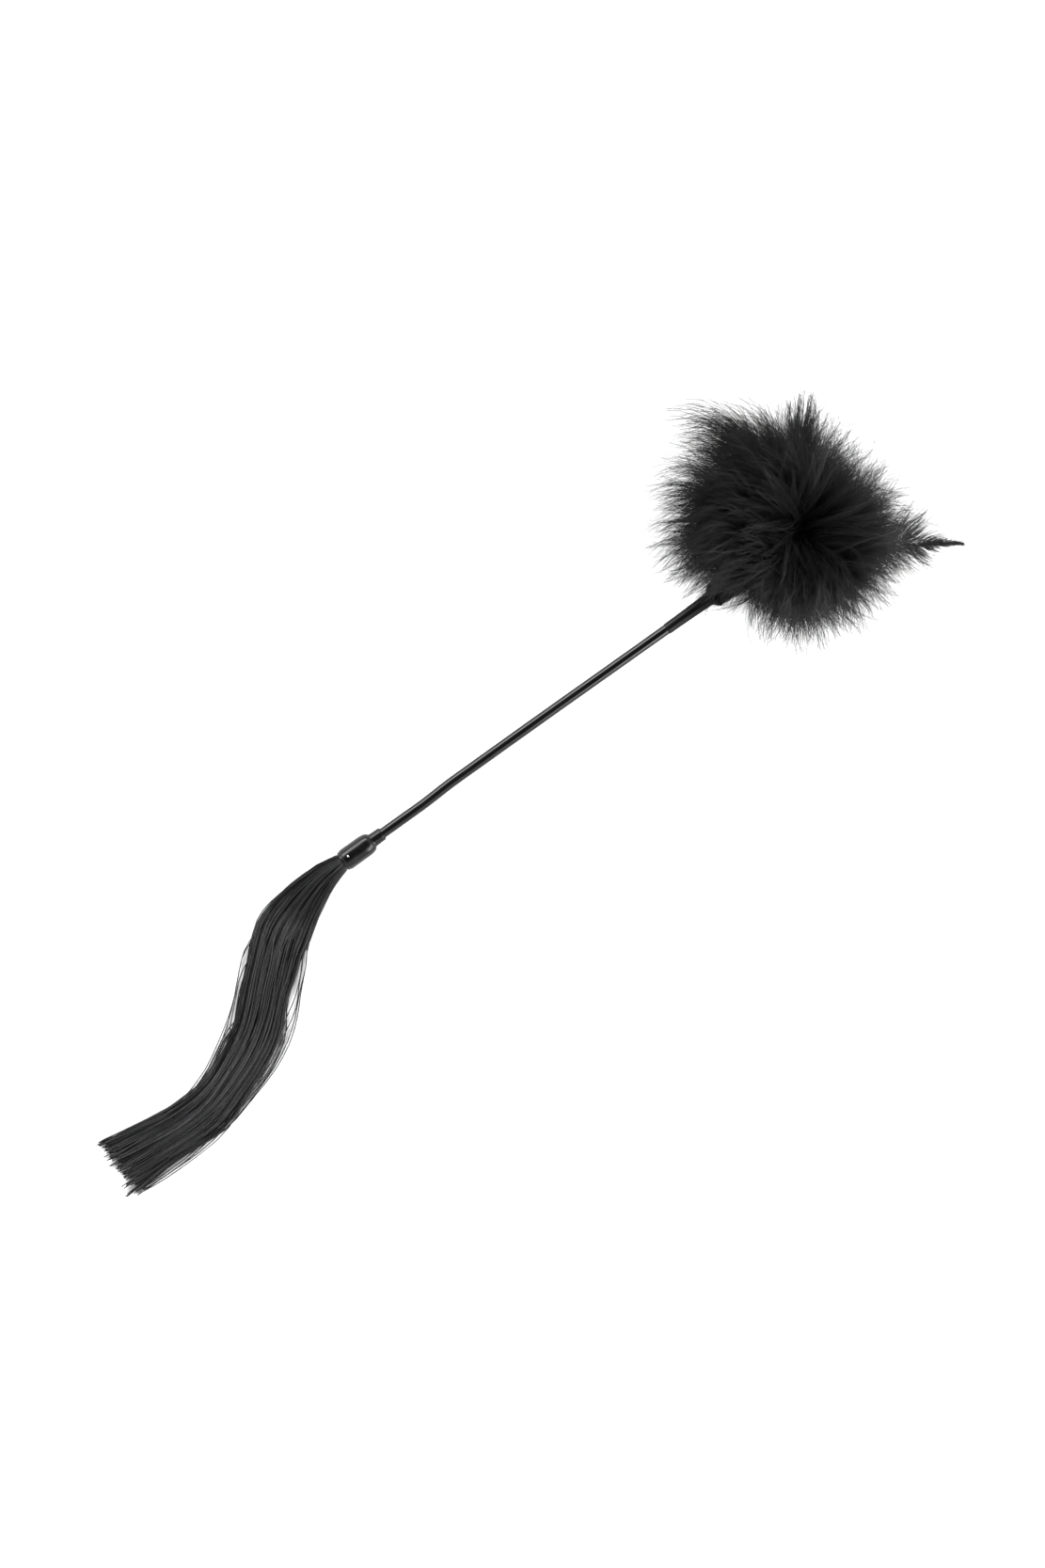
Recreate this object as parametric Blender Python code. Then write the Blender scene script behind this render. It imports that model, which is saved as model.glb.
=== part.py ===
"""Two-ended feather duster: a feather puff on one end of a slim rod, a tassel of rubber strands on the other.

The tassel's fine strands lie together in locks, and each lock is one solid.

The handle is built along +X of the frame "handle_axis", whose origin is the centre of the ferrule's mouth.
The rod rises from the ferrule, which lies on the table, to the puff, whose underside is flattened there.
"""
import math

import bmesh
import bpy
from mathutils import Matrix, Vector

# Driving dimensions, in metres and degrees.
GAP = 0.0003                # clearance between pieces that touch

HANDLE_LENGTH = 0.2850      # ferrule's mouth to the rod's far end
ROD_D = 0.0060
ROD_SIDES = 28
HANDLE_TILT = 4.5           # how far the rod rises towards the puff

LOCK_D = 0.0012             # a lock is several fine strands that lie together
LOCK_COUNT = 28
LOCK_POINTS = 16
LOCK_WANDER = 0.0002
SPREAD_DONE = 2.6           # where the locks have fanned out, in points of the tassel's route
SETTLE_STARTS = 0.5         # where they start to come down to the table
SETTLE_LASTS = 3.6
ROOT_DEPTH = 0.0105         # length of the locks held inside the ferrule

FERRULE_WALL = 0.00138
FERRULE_BODY = 0.0202
FERRULE_LIP_ROUND = 0.0010
SHOULDER_ROUND = 0.0042
NECK_WALL = 0.00070
NECK_LENGTH = 0.0072
PLUG_THICKNESS = 0.0018     # adhesive behind the roots of the locks

PIN_D = 0.0008
PIN_HEAD_D = 0.0015
PIN_HEAD_HEIGHT = 0.0005
PIN_FROM_MOUTH = 0.0052
PIN_ANGLE = 84.0            # round the handle, from +Y towards +Z

QUILL_D = 0.0008
QUILL_HELD = 0.0180         # length of quill under the binding
BINDING_THREAD = 0.0005
BINDING_LENGTH = 0.0120
SLEEVE_WALL = 0.0005
SLEEVE_TAIL = 0.0300        # thin stretch of the sleeve, on the bare rod

SLOTS = 12                  # quills round the rod in each of two layers
RING_STEPS = 8

# The tassel's middle line on the table, from the mouth: x, y and the tassel's width there.
TASSEL_ROUTE = (
    (0.000, 0.000, 0.0112),
    (-0.013, -0.0006, 0.0158),
    (-0.026, -0.0034, 0.0222),
    (-0.038, -0.0073, 0.0276),
    (-0.048, -0.0117, 0.0316),
    (-0.056, -0.0170, 0.0340),
    (-0.0642, -0.0238, 0.0358),
    (-0.0736, -0.0323, 0.0364),
    (-0.0833, -0.0416, 0.0368),
    (-0.094, -0.0500, 0.0362),
    (-0.107, -0.0574, 0.0346),
    (-0.124, -0.0643, 0.0312),
    (-0.141, -0.0691, 0.0300),
    (-0.158, -0.0701, 0.0306),
    (-0.176, -0.0689, 0.0332),
    (-0.192, -0.0676, 0.0360),
    (-0.201, -0.0666, 0.0372),
)

# Worked out from them.
LOCK_PITCH = LOCK_D + GAP
BUNDLE_R = math.sqrt(7.0) * LOCK_PITCH + LOCK_D / 2
CUP_R = BUNDLE_R + GAP
FERRULE_R = CUP_R + FERRULE_WALL
CUP_DEPTH = ROOT_DEPTH + PLUG_THICKNESS + 2 * GAP
ROD_R = ROD_D / 2
ROD_START = CUP_DEPTH + GAP
NECK_BORE_R = ROD_R + GAP
NECK_R = NECK_BORE_R + NECK_WALL
INNER_QUILL_R = ROD_R + GAP + QUILL_D / 2
OUTER_QUILL_R = INNER_QUILL_R + QUILL_D + GAP
BINDING_INNER_R = OUTER_QUILL_R + QUILL_D / 2 + GAP
BINDING_R = BINDING_INNER_R + BINDING_THREAD
HOOD_INNER_R = BINDING_R + GAP
HOOD_R = HOOD_INNER_R + SLEEVE_WALL
HOOD_END = HANDLE_LENGTH - 0.0140
QUILL_START = HOOD_END - QUILL_HELD
HOOD_INNER_START = QUILL_START - GAP
HOOD_START = HOOD_INNER_START - 3 * SLEEVE_WALL
SLEEVE_START = HOOD_START - SLEEVE_TAIL
BINDING_START = QUILL_START + (QUILL_HELD - BINDING_LENGTH) / 2
TILT = math.radians(HANDLE_TILT)
MOUTH_HEIGHT = (FERRULE_R - FERRULE_LIP_ROUND) * math.cos(TILT) + FERRULE_LIP_ROUND * (1 - math.sin(TILT))

# Feathers: the layer of quills, where they bend, how far they turn from the rod's axis, and their sizes.
FEATHER_RINGS = {
    "front_feather": {
        "quill_r": INNER_QUILL_R, "bend_at": HANDLE_LENGTH + 0.006, "bend": 0.030, "turn": 13.0,
        "length": 0.078, "half_width": 0.0150, "half_thickness": 0.0062, "angles": (60, 120, 240, 300),
    },
    "tip_feather": {
        "quill_r": INNER_QUILL_R, "bend_at": HANDLE_LENGTH + 0.003, "bend": 0.026, "turn": 35.0,
        "length": 0.114, "half_width": 0.0080, "half_thickness": 0.0022, "angles": (180,),
    },
    "tuft_feather": {
        "quill_r": INNER_QUILL_R, "bend_at": HANDLE_LENGTH + 0.003, "bend": 0.022, "turn": 48.0,
        "length": 0.100, "half_width": 0.0130, "half_thickness": 0.0042, "angles": (0,),
    },
    "middle_feather": {
        "quill_r": INNER_QUILL_R, "bend_at": HANDLE_LENGTH - 0.001, "bend": 0.016, "turn": 70.0,
        "length": 0.068, "half_width": 0.0260, "half_thickness": 0.0085, "angles": (30, 90, 150, 210, 270, 330),
    },
    "back_feather": {
        "quill_r": OUTER_QUILL_R, "bend_at": HANDLE_LENGTH - 0.008, "bend": 0.016, "turn": 102.0,
        "length": 0.066, "half_width": 0.0260, "half_thickness": 0.0085, "angles": (0, 60, 120, 180, 240, 300),
    },
    "drooping_feather": {
        "quill_r": OUTER_QUILL_R, "bend_at": HOOD_END + 0.001, "bend": 0.015, "turn": 146.0,
        "length": 0.062, "half_width": 0.0190, "half_thickness": 0.0050, "angles": (30, 90, 150, 210, 270, 330),
    },
}
LONG_SIDE_EXTRA = 0.032     # the feathers towards +Y reach further out
FLOOR_CUT = 0.200           # size of the block that flattens the puff's underside

COLOURS = {
    "rod": (0.010, 0.010, 0.011),
    "ferrule": (0.012, 0.012, 0.013),
    "strand": (0.020, 0.020, 0.021),
    "sleeve": (0.008, 0.008, 0.008),
    "thread": (0.014, 0.014, 0.015),
    "feather": (0.017, 0.019, 0.021),
    "pin": (0.560, 0.550, 0.530),
    "adhesive": (0.060, 0.058, 0.052),
}


def material(name, colour, roughness, metallic=0.0):
    made = bpy.data.materials.new(name)
    made.use_nodes = True
    shader = made.node_tree.nodes["Principled BSDF"]
    shader.inputs["Base Color"].default_value = (*COLOURS[colour], 1.0)
    shader.inputs["Roughness"].default_value = roughness
    shader.inputs["Metallic"].default_value = metallic
    return made


def add_object(name, data, parent, finish):
    piece = bpy.data.objects.new(name, data)
    bpy.context.scene.collection.objects.link(piece)
    piece.parent = parent
    piece.data.materials.append(finish)
    return piece


def shade_round(mesh, angle=40.0):
    mesh.shade_smooth()
    mesh.set_sharp_from_angle(angle=math.radians(angle))


def arc(centre_x, centre_r, radius, start, stop, steps):
    """Points on an arc in the profile plane, from start to stop degrees."""
    points = []
    for step in range(steps + 1):
        angle = math.radians(start + (stop - start) * step / steps)
        points.append((centre_x + radius * math.cos(angle), centre_r + radius * math.sin(angle)))
    return points


def lathe(name, profile, sides, parent, finish, closed):
    """Turn a profile of (x, radius) points round the X axis; an open one starts and ends on the axis."""
    bm = bmesh.new()
    verts = [bm.verts.new((x, 0.0, radius)) for x, radius in profile]
    edges = [bm.edges.new(pair) for pair in zip(verts, verts[1:])]
    if closed:
        edges.append(bm.edges.new((verts[-1], verts[0])))
    bmesh.ops.spin(
        bm, geom=verts + edges, cent=(0, 0, 0), axis=(1, 0, 0), angle=math.tau, steps=sides, use_merge=True)
    bmesh.ops.remove_doubles(bm, verts=bm.verts, dist=1e-6)
    bmesh.ops.recalc_face_normals(bm, faces=bm.faces)
    mesh = bpy.data.meshes.new(name)
    bm.to_mesh(mesh)
    bm.free()
    shade_round(mesh)
    return add_object(name, mesh, parent, finish)


def add_rod(parent):
    edge = 0.0004
    profile = [
        (ROD_START, 0.0),
        (ROD_START, ROD_R - edge),
        (ROD_START + edge, ROD_R),
        (HANDLE_LENGTH - edge, ROD_R),
        (HANDLE_LENGTH, ROD_R - edge),
        (HANDLE_LENGTH, 0.0),
    ]
    lathe("handle_rod", profile, ROD_SIDES, parent, material("rod_plastic", "rod", 0.2), closed=False)


def add_ferrule(parent):
    """One moulded shell: a cup for the roots of the locks, a rounded shoulder and a neck round the rod."""
    neck_end = FERRULE_BODY + NECK_LENGTH
    lip = FERRULE_LIP_ROUND
    shoulder = min(SHOULDER_ROUND, FERRULE_R - NECK_R - lip)
    neck_edge = NECK_WALL * 0.6
    profile = [(CUP_DEPTH, NECK_BORE_R), (CUP_DEPTH, CUP_R), (0.0, CUP_R)]
    profile += arc(lip, FERRULE_R - lip, lip, 180.0, 90.0, 3)
    profile += arc(FERRULE_BODY - shoulder, FERRULE_R - shoulder, shoulder, 90.0, 0.0, 5)
    profile += [(FERRULE_BODY, NECK_R), (neck_end - neck_edge, NECK_R)]
    profile += [(neck_end, NECK_R - neck_edge), (neck_end, NECK_BORE_R)]
    ferrule = lathe("tassel_ferrule", profile, 28, parent, material("ferrule_plastic", "ferrule", 0.18), closed=True)
    hole = bpy.data.meshes.new("pin_hole")
    bm = bmesh.new()
    bmesh.ops.create_cone(
        bm, cap_ends=True, segments=12, radius1=PIN_D / 2 + GAP, radius2=PIN_D / 2 + GAP,
        depth=4 * FERRULE_WALL, matrix=pin_frame(FERRULE_R - FERRULE_WALL / 2))
    bm.to_mesh(hole)
    bm.free()
    cutter = add_object("pin_hole", hole, parent, material("hole_guide", "ferrule", 0.5))
    cutter.hide_render = True
    cutter.display_type = 'WIRE'
    drill = ferrule.modifiers.new("pin_hole", 'BOOLEAN')
    drill.operation = 'DIFFERENCE'
    drill.object = cutter


def pin_frame(radius):
    """A frame on the ferrule's wall, at the pin, whose Z points outwards."""
    turn = Matrix.Rotation(math.radians(PIN_ANGLE - 90.0), 4, 'X')
    return Matrix.Translation((PIN_FROM_MOUTH, 0, 0)) @ turn @ Matrix.Translation((0, 0, radius))


def add_pin(parent):
    """A steel brad through the ferrule's wall: a domed head outside, a shank that ends flush with the cup."""
    shank = FERRULE_WALL + 2 * GAP
    dome = PIN_HEAD_HEIGHT
    bm = bmesh.new()
    profile = [(0.0, 0.0), (PIN_D / 2, 0.0), (PIN_D / 2, shank), (PIN_HEAD_D / 2, shank)]
    profile += [(PIN_HEAD_D / 2, shank + dome * 0.45), (PIN_HEAD_D / 3, shank + dome * 0.85), (0.0, shank + dome)]
    verts = [bm.verts.new((radius, 0.0, height)) for radius, height in profile]
    edges = [bm.edges.new(pair) for pair in zip(verts, verts[1:])]
    bmesh.ops.spin(
        bm, geom=verts + edges, cent=(0, 0, 0), axis=(0, 0, 1), angle=math.tau, steps=14, use_merge=True)
    bmesh.ops.remove_doubles(bm, verts=bm.verts, dist=1e-6)
    bmesh.ops.recalc_face_normals(bm, faces=bm.faces)
    mesh = bpy.data.meshes.new("ferrule_pin")
    bm.to_mesh(mesh)
    bm.free()
    shade_round(mesh)
    pin = add_object("ferrule_pin", mesh, parent, material("pin_steel", "pin", 0.3, 1.0))
    pin.matrix_local = pin_frame(CUP_R - GAP)


def add_plug(parent):
    start = ROOT_DEPTH + GAP
    profile = [(start, 0.0), (start, CUP_R - GAP), (start + PLUG_THICKNESS, CUP_R - GAP), (start + PLUG_THICKNESS, 0.0)]
    lathe("root_adhesive_plug", profile, 16, parent, material("adhesive", "adhesive", 0.4), closed=False)


def add_binding(parent):
    """Thread wound round the quills, one ridge for each few turns."""
    ridges = 4
    profile = [(BINDING_START + BINDING_LENGTH, BINDING_INNER_R), (BINDING_START, BINDING_INNER_R)]
    pitch = BINDING_LENGTH / ridges
    for ridge in range(ridges):
        profile.append((BINDING_START + (ridge + 0.02) * pitch, BINDING_R - BINDING_THREAD * 0.4))
        profile.append((BINDING_START + (ridge + 0.30) * pitch, BINDING_R))
        profile.append((BINDING_START + (ridge + 0.70) * pitch, BINDING_R))
    profile.append((BINDING_START + BINDING_LENGTH, BINDING_R - BINDING_THREAD * 0.4))
    lathe("quill_binding_thread", profile, 20, parent, material("binding_thread", "thread", 0.8), closed=True)


def add_sleeve(parent):
    """Shrunk-on sleeve: a thin tail on the rod, a step, and a wide hood over the bound quills."""
    tail_inner = ROD_R + GAP
    tail_r = tail_inner + SLEEVE_WALL * 0.6
    profile = [
        (HOOD_INNER_START, tail_inner),
        (SLEEVE_START, tail_inner),
        (SLEEVE_START, tail_r),
        (SLEEVE_START + SLEEVE_TAIL * 0.5, tail_r + SLEEVE_WALL * 0.2),
        (HOOD_START - 3 * SLEEVE_WALL, tail_r + SLEEVE_WALL * 0.5),
        (HOOD_START, HOOD_R - 2 * SLEEVE_WALL),
        (HOOD_START + 2 * SLEEVE_WALL, HOOD_R - SLEEVE_WALL * 0.4),
        (HOOD_START + QUILL_HELD * 0.5, HOOD_R),
        (HOOD_END, HOOD_R - SLEEVE_WALL * 0.2),
        (HOOD_END, HOOD_INNER_R),
        (HOOD_INNER_START, HOOD_INNER_R),
    ]
    lathe("binding_sleeve", profile, 24, parent, material("sleeve_plastic", "sleeve", 0.6), closed=True)


def ease(value):
    value = max(0.0, min(1.0, value))
    return value * value * (3.0 - 2.0 * value)


def feather_spine(ring, length):
    """Points (x, radius, direction, share of the length) along a feather, from its quill's end to its tip."""
    fine = 12
    spine = [(QUILL_START, ring["quill_r"], 0.0, 0.0)]
    x, radius = ring["bend_at"], ring["quill_r"]
    spine.append((x, radius, 0.0, 0.0))
    step = length / (RING_STEPS * fine)
    for index in range(RING_STEPS * fine):
        done = (index + 0.5) * step
        angle = math.radians(ring["turn"]) * ease(done / ring["bend"])
        x += step * math.cos(angle)
        radius += step * math.sin(angle)
        if (index + 1) % fine == 0:
            spine.append((x, radius, angle, (index + 1) / (RING_STEPS * fine)))
    return spine


def feather_section(ring, point, around):
    """The lens-shaped section of a feather at a point of its spine, as a loop of eight corners."""
    x, radius, angle, share = point
    leaf = math.sin(math.pi * min(1.0, 0.06 + 0.90 * share)) ** 0.7 if share > 0 else 0.0
    half_width = QUILL_D / 2 + ring["half_width"] * leaf
    fullness = math.sin(math.pi * (0.03 + 0.91 * share)) ** 1.2 if share > 0 else 0.0
    half_thickness = QUILL_D / 2 + (ring["half_thickness"] - QUILL_D / 2) * fullness
    half_slot = math.pi / SLOTS
    slot_limit = half_slot * (0.80 + 1.0 * ease((share - 0.15) / 0.25))
    spread = min(half_width / radius, slot_limit)
    corners = []
    for across, side in ((-1, 0), (-0.5, 1), (0, 1), (0.5, 1), (1, 0), (0.5, -1), (0, -1), (-0.5, -1)):
        lift = side * half_thickness * (1.0 - 0.7 * across * across)
        section_r = radius + lift * math.cos(angle)
        section_x = x - lift * math.sin(angle)
        turn = around + across * spread
        corners.append((section_x, section_r * math.cos(turn), section_r * math.sin(turn)))
    return corners


def add_feather(name, ring, degrees, parent, finish, floor):
    around = math.radians(degrees)
    length = ring["length"] + LONG_SIDE_EXTRA * max(0.0, math.cos(around)) ** 6 * (ring["turn"] > 60.0)
    bm = bmesh.new()
    loops = []
    for point in feather_spine(ring, length):
        loops.append([bm.verts.new(corner) for corner in feather_section(ring, point, around)])
    bm.faces.new(loops[0])
    bm.faces.new(reversed(loops[-1]))
    for lower, upper in zip(loops, loops[1:]):
        for corner in range(len(lower)):
            after = (corner + 1) % len(lower)
            bm.faces.new((lower[corner], upper[corner], upper[after], lower[after]))
    bmesh.ops.recalc_face_normals(bm, faces=bm.faces)
    mesh = bpy.data.meshes.new(name)
    bm.to_mesh(mesh)
    bm.free()
    shade_round(mesh, 60.0)
    feather = add_object(name, mesh, parent, finish)
    if degrees > 180:
        flatten = feather.modifiers.new("table", 'BOOLEAN')
        flatten.operation = 'DIFFERENCE'
        flatten.object = floor


def add_floor_cutter(parent, finish):
    """A block under the table's surface, where the puff lies."""
    mesh = bpy.data.meshes.new("table_cutter")
    bm = bmesh.new()
    bmesh.ops.create_cube(bm, size=FLOOR_CUT)
    bm.to_mesh(mesh)
    bm.free()
    cutter = add_object("table_cutter", mesh, parent, finish)
    cutter.location = (HANDLE_LENGTH + 0.02, 0.0, -FLOOR_CUT / 2)
    cutter.hide_render = True
    cutter.display_type = 'WIRE'
    return cutter


def add_feathers(parent, floor):
    finish = material("feather_down", "feather", 0.85)
    for kind, ring in FEATHER_RINGS.items():
        for number, degrees in enumerate(ring["angles"], start=1):
            name = kind if len(ring["angles"]) == 1 else f"{kind}_{number}"
            add_feather(name, ring, degrees, parent, finish, floor)


def catmull(points, position):
    """A smooth curve through a list of points; position runs from 0 to the last index."""
    last = len(points) - 1
    index = min(int(position), last - 1)
    part = position - index
    before = points[max(index - 1, 0)]
    start = points[index]
    stop = points[index + 1]
    after = points[min(index + 2, last)]
    value = []
    for a, b, c, d in zip(before, start, stop, after):
        value.append(0.5 * (2 * b + (c - a) * part + (2 * a - 5 * b + 4 * c - d) * part ** 2
                            + (3 * b - 3 * c + d - a) * part ** 3))
    return value


def root_places():
    """Where the locks sit in the ferrule's cup: the places of a hexagonal packing nearest the middle."""
    places = []
    for row in range(-4, 5):
        for column in range(-5, 6):
            y = (column + 0.5 * (row % 2)) * LOCK_PITCH
            z = row * LOCK_PITCH * math.sqrt(3.0) / 2
            places.append((y, z))
    places.sort(key=lambda place: (round(math.hypot(*place), 6), place[1], place[0]))
    return places[:LOCK_COUNT]


def ribbon_places():
    """Each lock's place in the cup with its layer and its share of the width, from -1 to 1, on the table."""
    roots = sorted(root_places(), key=lambda place: (place[1], place[0]))
    half = LOCK_COUNT // 2
    layers = (roots[:half], roots[half:])
    places = []
    for layer, members in enumerate(layers):
        members = sorted(members, key=lambda place: (round(place[0], 6), place[1]))
        for order, root in enumerate(members):
            share = (order + 0.25 + 0.5 * layer) / len(members)
            places.append((root, layer, 2 * share - 1))
    return places


def lock_points(root, layer, share, number, handle):
    """A lock's middle line: straight inside the ferrule, then down onto the table along the tassel."""
    points = [handle @ Vector((ROOT_DEPTH, root[0], root[1])), handle @ Vector((0.0, root[0], root[1]))]
    last = len(TASSEL_ROUTE) - 1
    trim = 0.022 * math.sin(2.4 * number)
    table = GAP + LOCK_D / 2 + layer * LOCK_PITCH
    for step in range(1, LOCK_POINTS + 1):
        position = last * (0.978 + trim) * step / LOCK_POINTS
        x, y, width = catmull(TASSEL_ROUTE, position)
        ahead = catmull(TASSEL_ROUTE, position + 0.01)
        behind = catmull(TASSEL_ROUTE, position - 0.01)
        along = Vector((ahead[0] - behind[0], ahead[1] - behind[1], 0.0)).normalized()
        side = Vector((along.y, -along.x, 0.0))
        spread = ease(position / SPREAD_DONE)
        settle = ease((position - SETTLE_STARTS) / SETTLE_LASTS)
        wander = LOCK_WANDER * math.sin(1.3 * position + 0.9 * number) * settle
        across = (1 - spread) * root[0] + spread * share * (width - LOCK_D) / 2 + wander
        flight = (handle @ Vector((0.0, root[0], root[1]))).z
        height = (1 - settle) * flight + settle * table
        points.append(Vector((x, y, 0.0)) + side * across + Vector((0.0, 0.0, height)))
    return points


def add_locks(parent, handle):
    finish = material("strand_rubber", "strand", 0.45)
    for number, (root, layer, share) in enumerate(ribbon_places(), start=1):
        points = lock_points(root, layer, share, number, handle)
        name = f"tassel_lock_{number:02d}"
        curve = bpy.data.curves.new(name, 'CURVE')
        curve.dimensions = '3D'
        curve.bevel_depth = LOCK_D / 2
        curve.bevel_resolution = 2
        curve.use_fill_caps = True
        spline = curve.splines.new('POLY')
        spline.points.add(len(points) - 1)
        for target, point in zip(spline.points, points):
            target.co = (*point, 1.0)
        add_object(name, curve, parent, finish)


def centre_on_base(frame):
    """Move the whole object so that its origin is under the middle of everything but the locks."""
    depsgraph = bpy.context.evaluated_depsgraph_get()
    low = Vector((math.inf, math.inf))
    high = Vector((-math.inf, -math.inf))
    for piece in bpy.data.objects:
        if piece.type != 'MESH' or piece.hide_render:
            continue
        evaluated = piece.evaluated_get(depsgraph)
        for vertex in evaluated.data.vertices:
            place = evaluated.matrix_world @ vertex.co
            low = Vector((min(low.x, place.x), min(low.y, place.y)))
            high = Vector((max(high.x, place.x), max(high.y, place.y)))
    frame.location = (-(low.x + high.x) / 2, -(low.y + high.y) / 2, 0.0)


def main():
    for piece in list(bpy.data.objects):
        bpy.data.objects.remove(piece, do_unlink=True)
    frame = bpy.data.objects.new("table_frame", None)
    axis = bpy.data.objects.new("handle_axis", None)
    for empty in (frame, axis):
        bpy.context.scene.collection.objects.link(empty)
    axis.parent = frame
    handle = Matrix.Translation((0, 0, MOUTH_HEIGHT)) @ Matrix.Rotation(-TILT, 4, 'Y')
    axis.matrix_local = handle
    floor = add_floor_cutter(frame, material("table_guide", "feather", 0.5))
    add_rod(axis)
    add_ferrule(axis)
    add_pin(axis)
    add_plug(axis)
    add_binding(axis)
    add_sleeve(axis)
    add_feathers(axis, floor)
    add_locks(frame, handle)
    centre_on_base(frame)


main()
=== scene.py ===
import math
import random

import bpy
import numpy as np
from mathutils import Matrix, Vector


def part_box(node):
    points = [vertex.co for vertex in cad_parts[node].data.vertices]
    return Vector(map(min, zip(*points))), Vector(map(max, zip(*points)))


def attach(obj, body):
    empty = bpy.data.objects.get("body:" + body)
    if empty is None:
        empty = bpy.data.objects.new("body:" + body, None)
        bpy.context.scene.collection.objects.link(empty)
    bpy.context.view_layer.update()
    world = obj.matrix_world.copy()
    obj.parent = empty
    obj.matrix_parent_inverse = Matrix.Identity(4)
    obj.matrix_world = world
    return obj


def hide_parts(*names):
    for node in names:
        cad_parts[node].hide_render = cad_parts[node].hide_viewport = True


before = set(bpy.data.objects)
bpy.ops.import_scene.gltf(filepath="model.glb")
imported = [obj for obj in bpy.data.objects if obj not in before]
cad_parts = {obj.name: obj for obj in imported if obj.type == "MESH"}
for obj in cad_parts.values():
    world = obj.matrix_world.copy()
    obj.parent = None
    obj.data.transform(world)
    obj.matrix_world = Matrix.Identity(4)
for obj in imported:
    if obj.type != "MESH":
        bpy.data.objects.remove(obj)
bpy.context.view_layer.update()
mm = 0.001
print("frame loaded:", len(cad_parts), "nodes")


def fromHex(code):
    # sRGB hex to linear rgba
    values = [int(code[i:i + 2], 16) / 255 for i in (1, 3, 5)]
    linear = [v / 12.92 if v <= 0.04045 else ((v + 0.055) / 1.055) ** 2.4 for v in values]
    return (*linear, 1.0)


def addNode(tree, kind, values=None, links=None, **settings):
    node = tree.nodes.new(kind)
    for name, value in settings.items():
        setattr(node, name, value)
    for name, value in (values or {}).items():
        node.inputs[name].default_value = value
    for name, source in (links or {}).items():
        tree.links.new(source, node.inputs[name])
    return node


def newMaterial(name, **values):
    made = bpy.data.materials.new(name)
    made.use_nodes = True
    shader = made.node_tree.nodes["Principled BSDF"]
    for socket, value in values.items():
        shader.inputs[socket.replace("_", " ")].default_value = value
    return made, made.node_tree, shader


def addNoise(tree, vector, scale, detail):
    values = {"Scale": scale, "Detail": detail}
    return addNode(tree, "ShaderNodeTexNoise", values, {"Vector": vector}).outputs["Fac"]


def addRamp(tree, source, *stops):
    # colours in sRGB hex at their places between two ends
    ramp = addNode(tree, "ShaderNodeValToRGB", links={"Fac": source})
    for element, (position, code) in zip(ramp.color_ramp.elements, stops):
        element.position = position
        element.color = fromHex(code)
    return ramp.outputs["Color"]


def addRange(tree, source, low, high, fromLow=0.0, fromHigh=1.0):
    values = {"From Min": fromLow, "From Max": fromHigh, "To Min": low, "To Max": high}
    return addNode(tree, "ShaderNodeMapRange", values, {"Value": source}).outputs["Result"]


def addBump(tree, shader, height, strength, distance):
    bump = addNode(tree, "ShaderNodeBump", {"Strength": strength, "Distance": distance}, {"Height": height})
    tree.links.new(bump.outputs["Normal"], shader.inputs["Normal"])


def objectPlace(tree):
    return addNode(tree, "ShaderNodeTexCoord").outputs["Object"]


def attribute(tree, name):
    return addNode(tree, "ShaderNodeAttribute", attribute_name=name).outputs["Fac"]


def selectOnly(piece):
    bpy.ops.object.select_all(action='DESELECT')
    piece.select_set(True)
    bpy.context.view_layer.objects.active = piece


def ease(value):
    value = max(0.0, min(1.0, value))
    return value * value * (3 - 2 * value)


def finishPiece(piece, material):
    piece.data.materials.clear()
    piece.data.materials.append(material)
    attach(piece, "root")


rodLow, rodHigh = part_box("handle_rod")
ferruleLow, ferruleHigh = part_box("tassel_ferrule")
sleeveLow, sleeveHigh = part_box("binding_sleeve")
rodRadius = (rodHigh.y - rodLow.y) / 2
ferruleRadius = (ferruleHigh.y - ferruleLow.y) / 2
rodBegin = Vector((rodLow.x, (rodLow.y + rodHigh.y) / 2, rodLow.z + rodRadius))
rodFinish = Vector((rodHigh.x, (rodLow.y + rodHigh.y) / 2, rodHigh.z - rodRadius))
handleDirection = (rodFinish - rodBegin).normalized()
handleTilt = math.asin(handleDirection.z)
mouthX = ferruleLow.x + ferruleRadius * math.sin(handleTilt)
mouth = rodBegin + handleDirection * ((mouthX - rodBegin.x) / handleDirection.x)
handleFrame = Matrix.Translation(mouth) @ Matrix.Rotation(-handleTilt, 4, 'Y')
handleLength = (rodFinish - mouth).length


def alongHandle(x):
    # distance from the ferrule's mouth of a place with this world x, on the axis
    return (x - mouth.x) / handleDirection.x


cameraSettings = {
    "aim": (0.1064, -0.0228, 0.015),  # from the ferrule's mouth, along and across the rod, and height
    "frameHeight": 0.8670,
    "lens": 85.0,
    "roll": -35.5,
    "sensor": 36,
}


def addCamera():
    distance = cameraSettings["frameHeight"] * cameraSettings["lens"] / cameraSettings["sensor"]
    aim = Vector((mouth.x, mouth.y, 0)) + Vector(cameraSettings["aim"])
    bpy.ops.object.camera_add(location=aim + Vector((0, 0, distance)))
    camera = bpy.context.object
    camera.name = "overheadCamera"
    camera.rotation_euler = (0, 0, math.radians(cameraSettings["roll"]))
    camera.data.lens = cameraSettings["lens"]
    camera.data.sensor_width = cameraSettings["sensor"]
    bpy.context.scene.camera = camera


addCamera()
print("camera placed")


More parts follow.
